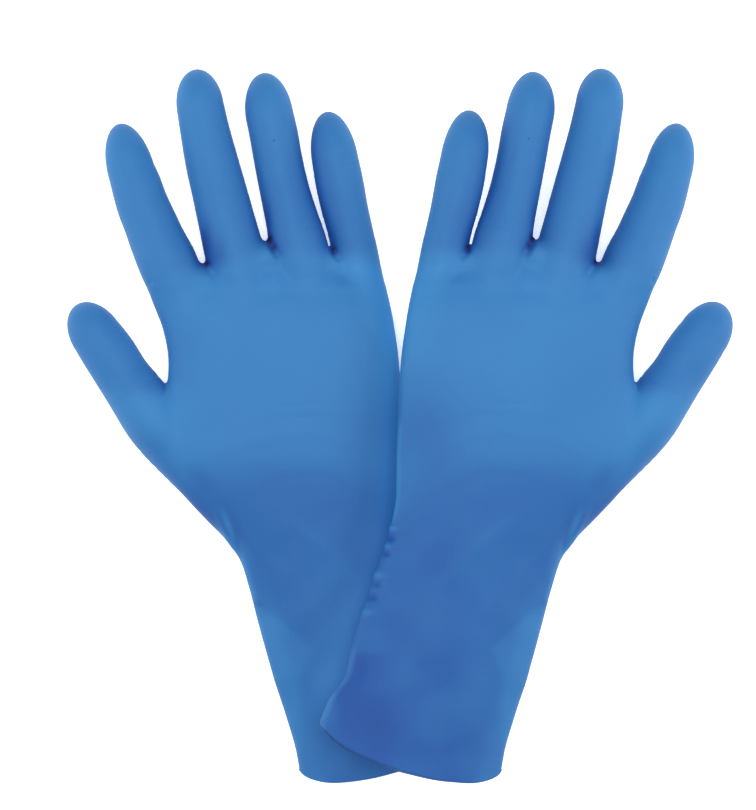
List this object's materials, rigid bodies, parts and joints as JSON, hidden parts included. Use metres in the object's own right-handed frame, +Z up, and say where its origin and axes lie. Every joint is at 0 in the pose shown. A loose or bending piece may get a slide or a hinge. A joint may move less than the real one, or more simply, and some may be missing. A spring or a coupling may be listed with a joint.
{
  "type": "pair of rubber gloves",
  "caption": "Pair of smooth long-cuff rubber gloves with rolled cuff beads, palms up, one cuff lying over the other; wrists, fingers and thumbs bend.",
  "frame": {"origin": "middle of the pair's outline, on the floor plane", "axes": "+Y towards the fingertips, +Z up out of the palms, +X towards the right glove's thumb"},
  "size_m": [0.2723, 0.2936, 0.0426],
  "materials": {
    "skin": "matte, finely grained",
    "bead": "matte"
  },
  "bodies": {
    "left_cuff": {"left_cuff": "skin", "left_cuff_bead": "bead"},
    "right_cuff": {"right_cuff": "skin", "right_cuff_bead": "bead"},
    "left_palm": {"left_palm": "skin", "left_heel": "skin"},
    "left_index_base": {"left_index_base": "skin"},
    "left_index_mid": {"left_index_mid": "skin"},
    "left_index_tip": {"left_index_tip": "skin"},
    "left_middle_base": {"left_middle_base": "skin"},
    "left_middle_mid": {"left_middle_mid": "skin"},
    "left_middle_tip": {"left_middle_tip": "skin"},
    "left_ring_base": {"left_ring_base": "skin"},
    "left_ring_mid": {"left_ring_mid": "skin"},
    "left_ring_tip": {"left_ring_tip": "skin"},
    "left_little_base": {"left_little_base": "skin"},
    "left_little_mid": {"left_little_mid": "skin"},
    "left_little_tip": {"left_little_tip": "skin"},
    "left_thumb_base": {"left_thumb_base": "skin"},
    "left_thumb_tip": {"left_thumb_tip": "skin"},
    "right_palm": {"right_palm": "skin", "right_heel": "skin"},
    "right_index_base": {"right_index_base": "skin"},
    "right_index_mid": {"right_index_mid": "skin"},
    "right_index_tip": {"right_index_tip": "skin"},
    "right_middle_base": {"right_middle_base": "skin"},
    "right_middle_mid": {"right_middle_mid": "skin"},
    "right_middle_tip": {"right_middle_tip": "skin"},
    "right_ring_base": {"right_ring_base": "skin"},
    "right_ring_mid": {"right_ring_mid": "skin"},
    "right_ring_tip": {"right_ring_tip": "skin"},
    "right_little_base": {"right_little_base": "skin"},
    "right_little_mid": {"right_little_mid": "skin"},
    "right_little_tip": {"right_little_tip": "skin"},
    "right_thumb_base": {"right_thumb_base": "skin"},
    "right_thumb_tip": {"right_thumb_tip": "skin"}
  },
  "joints": [
    {"name": "right_glove_lift", "type": "slide", "parent": "left_cuff", "child": "right_cuff", "axis": [0, 0, 1], "range_m": [0, 0.08]},
    {"name": "left_wrist", "type": "hinge", "parent": "left_cuff", "child": "left_palm", "pos_m": [-0.0435, -0.031, 0.0233], "axis": [1, 0, 0], "range_deg": [0, 60], "stiffness_Nm_per_rad": 0.01},
    {"name": "left_index_base_bend", "type": "hinge", "parent": "left_palm", "child": "left_index_base", "pos_m": [-0.09765, 0.07202, 0.02381], "axis": [0.9483, 0.3173, 0], "range_deg": [0, 60], "stiffness_Nm_per_rad": 0.003},
    {"name": "left_index_mid_bend", "type": "hinge", "parent": "left_index_base", "child": "left_index_mid", "pos_m": [-0.10492, 0.09376, 0.02162], "axis": [0.9483, 0.3173, 0], "range_deg": [0, 70], "stiffness_Nm_per_rad": 0.002},
    {"name": "left_index_tip_bend", "type": "hinge", "parent": "left_index_mid", "child": "left_index_tip", "pos_m": [-0.10998, 0.10888, 0.01989], "axis": [0.9483, 0.3173, 0], "range_deg": [0, 45], "stiffness_Nm_per_rad": 0.001},
    {"name": "left_middle_base_bend", "type": "hinge", "parent": "left_palm", "child": "left_middle_base", "pos_m": [-0.06883, 0.07501, 0.02386], "axis": [0.9781, 0.2079, 0], "range_deg": [0, 60], "stiffness_Nm_per_rad": 0.003},
    {"name": "left_middle_mid_bend", "type": "hinge", "parent": "left_middle_base", "child": "left_middle_mid", "pos_m": [-0.07526, 0.10528, 0.02173], "axis": [0.9781, 0.2079, 0], "range_deg": [0, 70], "stiffness_Nm_per_rad": 0.002},
    {"name": "left_middle_tip_bend", "type": "hinge", "parent": "left_middle_mid", "child": "left_middle_tip", "pos_m": [-0.07983, 0.12675, 0.01991], "axis": [0.9781, 0.2079, 0], "range_deg": [0, 45], "stiffness_Nm_per_rad": 0.001},
    {"name": "left_ring_base_bend", "type": "hinge", "parent": "left_palm", "child": "left_ring_base", "pos_m": [-0.04276, 0.08111, 0.02369], "axis": [0.9816, 0.1908, 0], "range_deg": [0, 60], "stiffness_Nm_per_rad": 0.003},
    {"name": "left_ring_mid_bend", "type": "hinge", "parent": "left_ring_base", "child": "left_ring_mid", "pos_m": [-0.04789, 0.10752, 0.02089], "axis": [0.9816, 0.1908, 0], "range_deg": [0, 70], "stiffness_Nm_per_rad": 0.002},
    {"name": "left_ring_tip_bend", "type": "hinge", "parent": "left_ring_mid", "child": "left_ring_tip", "pos_m": [-0.0517, 0.12712, 0.01947], "axis": [0.9816, 0.1908, 0], "range_deg": [0, 45], "stiffness_Nm_per_rad": 0.001},
    {"name": "left_little_base_bend", "type": "hinge", "parent": "left_palm", "child": "left_little_base", "pos_m": [-0.01937, 0.07743, 0.01916], "axis": [0.9823, 0.1874, 0], "range_deg": [0, 60], "stiffness_Nm_per_rad": 0.003},
    {"name": "left_little_mid_bend", "type": "hinge", "parent": "left_little_base", "child": "left_little_mid", "pos_m": [-0.02312, 0.09708, 0.01895], "axis": [0.9823, 0.1874, 0], "range_deg": [0, 70], "stiffness_Nm_per_rad": 0.002},
    {"name": "left_little_tip_bend", "type": "hinge", "parent": "left_little_mid", "child": "left_little_tip", "pos_m": [-0.0263, 0.11377, 0.01835], "axis": [0.9823, 0.1874, 0], "range_deg": [0, 45], "stiffness_Nm_per_rad": 0.001},
    {"name": "left_thumb_base_bend", "type": "hinge", "parent": "left_palm", "child": "left_thumb_base", "pos_m": [-0.10947, 0.01499, 0.02402], "axis": [0.8443, 0.5358, 0], "range_deg": [0, 50], "stiffness_Nm_per_rad": 0.003},
    {"name": "left_thumb_tip_bend", "type": "hinge", "parent": "left_thumb_base", "child": "left_thumb_tip", "pos_m": [-0.11964, 0.03101, 0.02289], "axis": [0.8443, 0.5358, 0], "range_deg": [0, 56], "stiffness_Nm_per_rad": 0.001},
    {"name": "right_wrist", "type": "hinge", "parent": "right_cuff", "child": "right_palm", "pos_m": [0.04517, -0.03028, 0.03642], "axis": [0.9906, -0.0017, -0.1371], "range_deg": [0, 60], "stiffness_Nm_per_rad": 0.01},
    {"name": "right_index_base_bend", "type": "hinge", "parent": "right_palm", "child": "right_index_base", "pos_m": [0.09871, 0.07263, 0.02702], "axis": [0.9399, -0.3188, -0.1223], "range_deg": [0, 60], "stiffness_Nm_per_rad": 0.003},
    {"name": "right_index_mid_bend", "type": "hinge", "parent": "right_index_base", "child": "right_index_mid", "pos_m": [0.10557, 0.0943, 0.02332], "axis": [0.9399, -0.3188, -0.1223], "range_deg": [0, 70], "stiffness_Nm_per_rad": 0.002},
    {"name": "right_index_tip_bend", "type": "hinge", "parent": "right_index_mid", "child": "right_index_tip", "pos_m": [0.11032, 0.10936, 0.02055], "axis": [0.9399, -0.3188, -0.1223], "range_deg": [0, 45], "stiffness_Nm_per_rad": 0.001},
    {"name": "right_middle_base_bend", "type": "hinge", "parent": "right_palm", "child": "right_middle_base", "pos_m": [0.07016, 0.07567, 0.03094], "axis": [0.9693, -0.2095, -0.129], "range_deg": [0, 60], "stiffness_Nm_per_rad": 0.003},
    {"name": "right_middle_mid_bend", "type": "hinge", "parent": "right_middle_base", "child": "right_middle_mid", "pos_m": [0.07619, 0.10587, 0.02722], "axis": [0.9693, -0.2095, -0.129], "range_deg": [0, 70], "stiffness_Nm_per_rad": 0.002},
    {"name": "right_middle_tip_bend", "type": "hinge", "parent": "right_middle_mid", "child": "right_middle_tip", "pos_m": [0.08043, 0.12728, 0.02427], "axis": [0.9693, -0.2095, -0.129], "range_deg": [0, 45], "stiffness_Nm_per_rad": 0.001},
    {"name": "right_ring_base_bend", "type": "hinge", "parent": "right_palm", "child": "right_ring_base", "pos_m": [0.0443, 0.08181, 0.0342], "axis": [0.9727, -0.1924, -0.1299], "range_deg": [0, 60], "stiffness_Nm_per_rad": 0.003},
    {"name": "right_ring_mid_bend", "type": "hinge", "parent": "right_ring_base", "child": "right_ring_mid", "pos_m": [0.04896, 0.10814, 0.03008], "axis": [0.9727, -0.1924, -0.1299], "range_deg": [0, 70], "stiffness_Nm_per_rad": 0.002},
    {"name": "right_ring_tip_bend", "type": "hinge", "parent": "right_ring_mid", "child": "right_ring_tip", "pos_m": [0.05251, 0.12768, 0.02769], "axis": [0.9727, -0.1924, -0.1299], "range_deg": [0, 45], "stiffness_Nm_per_rad": 0.001},
    {"name": "right_little_base_bend", "type": "hinge", "parent": "right_palm", "child": "right_little_base", "pos_m": [0.02052, 0.07806, 0.03301], "axis": [0.9733, -0.189, -0.1301], "range_deg": [0, 60], "stiffness_Nm_per_rad": 0.003},
    {"name": "right_little_mid_bend", "type": "hinge", "parent": "right_little_base", "child": "right_little_mid", "pos_m": [0.02417, 0.09768, 0.03181], "axis": [0.9733, -0.189, -0.1301], "range_deg": [0, 70], "stiffness_Nm_per_rad": 0.002},
    {"name": "right_little_tip_bend", "type": "hinge", "parent": "right_little_mid", "child": "right_little_tip", "pos_m": [0.02721, 0.11435, 0.03038], "axis": [0.9733, -0.189, -0.1301], "range_deg": [0, 45], "stiffness_Nm_per_rad": 0.001},
    {"name": "right_thumb_base_bend", "type": "hinge", "parent": "right_palm", "child": "right_thumb_base", "pos_m": [0.11054, 0.0156, 0.02698], "axis": [0.8373, -0.5371, -0.1028], "range_deg": [0, 50], "stiffness_Nm_per_rad": 0.003},
    {"name": "right_thumb_tip_bend", "type": "hinge", "parent": "right_thumb_base", "child": "right_thumb_tip", "pos_m": [0.12043, 0.03158, 0.02408], "axis": [0.8373, -0.5371, -0.1028], "range_deg": [0, 56], "stiffness_Nm_per_rad": 0.001}
  ],
  "couplings": [
    {"joint": "left_index_mid_bend", "follows": "left_index_base_bend", "ratio": 1.16},
    {"joint": "left_index_tip_bend", "follows": "left_index_base_bend", "ratio": 0.74},
    {"joint": "left_middle_mid_bend", "follows": "left_middle_base_bend", "ratio": 1.16},
    {"joint": "left_middle_tip_bend", "follows": "left_middle_base_bend", "ratio": 0.74},
    {"joint": "left_ring_mid_bend", "follows": "left_ring_base_bend", "ratio": 1.16},
    {"joint": "left_ring_tip_bend", "follows": "left_ring_base_bend", "ratio": 0.74},
    {"joint": "left_little_mid_bend", "follows": "left_little_base_bend", "ratio": 1.16},
    {"joint": "left_little_tip_bend", "follows": "left_little_base_bend", "ratio": 0.74},
    {"joint": "left_thumb_tip_bend", "follows": "left_thumb_base_bend", "ratio": 1.1},
    {"joint": "right_index_mid_bend", "follows": "right_index_base_bend", "ratio": 1.16},
    {"joint": "right_index_tip_bend", "follows": "right_index_base_bend", "ratio": 0.74},
    {"joint": "right_middle_mid_bend", "follows": "right_middle_base_bend", "ratio": 1.16},
    {"joint": "right_middle_tip_bend", "follows": "right_middle_base_bend", "ratio": 0.74},
    {"joint": "right_ring_mid_bend", "follows": "right_ring_base_bend", "ratio": 1.16},
    {"joint": "right_ring_tip_bend", "follows": "right_ring_base_bend", "ratio": 0.74},
    {"joint": "right_little_mid_bend", "follows": "right_little_base_bend", "ratio": 1.16},
    {"joint": "right_little_tip_bend", "follows": "right_little_base_bend", "ratio": 0.74},
    {"joint": "right_thumb_tip_bend", "follows": "right_thumb_base_bend", "ratio": 1.1}
  ]
}
